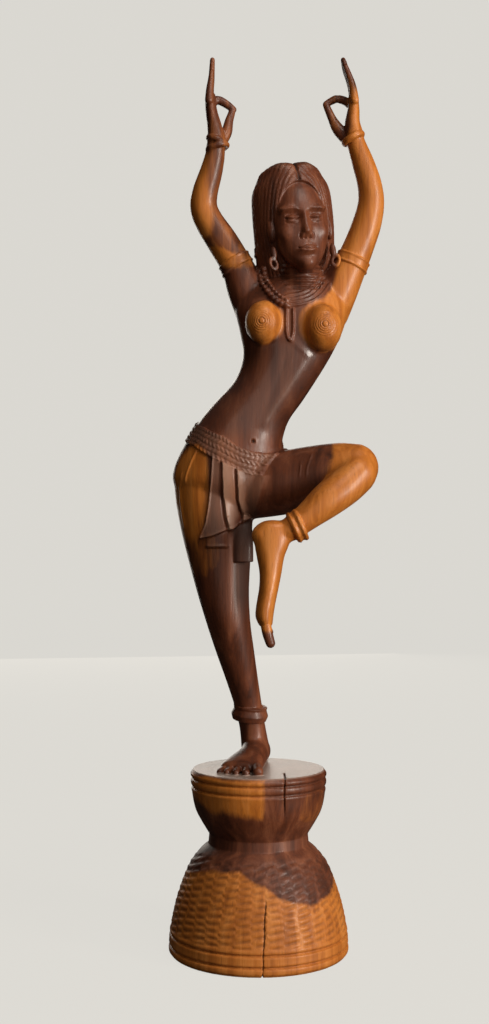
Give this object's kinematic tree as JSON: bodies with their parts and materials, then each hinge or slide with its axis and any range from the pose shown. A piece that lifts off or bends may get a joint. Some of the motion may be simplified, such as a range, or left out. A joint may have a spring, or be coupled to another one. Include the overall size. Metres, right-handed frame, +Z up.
{
  "type": "carved wooden dancer figure",
  "caption": "Carved hardwood dancer with raised arms and one knee drawn up, balancing on an hourglass drum base.",
  "frame": {"origin": "centre of the drum's flat underside", "axes": "+Z up along the log, the dancer faces -Y, +X is to her left"},
  "size_m": [0.1446, 0.12, 0.5958],
  "materials": {
    "rosewood": "two-tone rosewood, dark heartwood and orange sapwood, oiled to a satin gloss"
  },
  "bodies": {
    "root": {"dancer_on_drum": "rosewood"}
  },
  "joints": []
}
